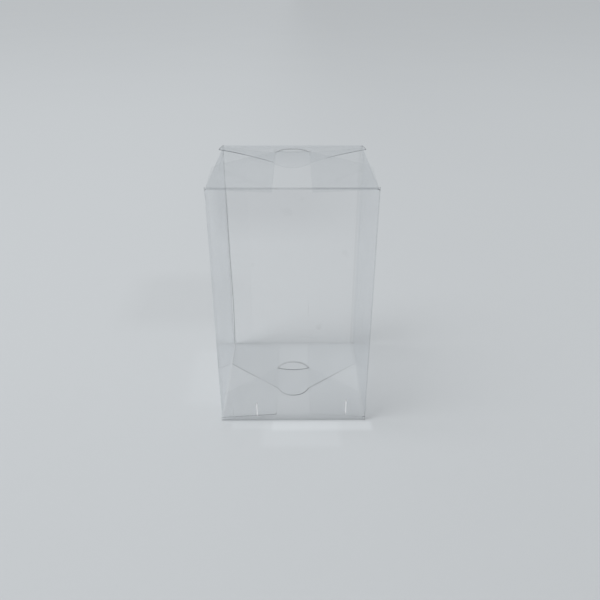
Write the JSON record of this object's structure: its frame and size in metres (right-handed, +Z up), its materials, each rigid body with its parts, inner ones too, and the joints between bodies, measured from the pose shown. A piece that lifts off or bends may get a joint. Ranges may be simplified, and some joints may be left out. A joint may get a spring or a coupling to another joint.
{
  "type": "clear folding box",
  "caption": "Tall clear film folding box, creased and side-glued, closed at both ends by dust flaps and a tongue-and-eye lock flap.",
  "frame": {"origin": "centre of the base, on the surface that the box stands on", "axes": "+X right, +Y to the back panel, where both lock flaps hinge, +Z up"},
  "size_m": [0.076, 0.076, 0.131],
  "materials": {
    "clear_film": "gloss"
  },
  "bodies": {
    "box": {"box_sheet": "clear_film"},
    "top_flap": {"top_lock_flap": "clear_film"},
    "bottom_flap": {"bottom_lock_flap": "clear_film"}
  },
  "joints": [
    {"name": "top_lock_fold", "type": "hinge", "parent": "box", "child": "top_flap", "pos_m": [0, 0.038, 0.12642], "axis": [-1, 0, 0], "range_deg": [0, 135]},
    {"name": "bottom_lock_fold", "type": "hinge", "parent": "box", "child": "bottom_flap", "pos_m": [0, 0.038, 0.0007], "axis": [1, 0, 0], "range_deg": [0, 135]}
  ]
}
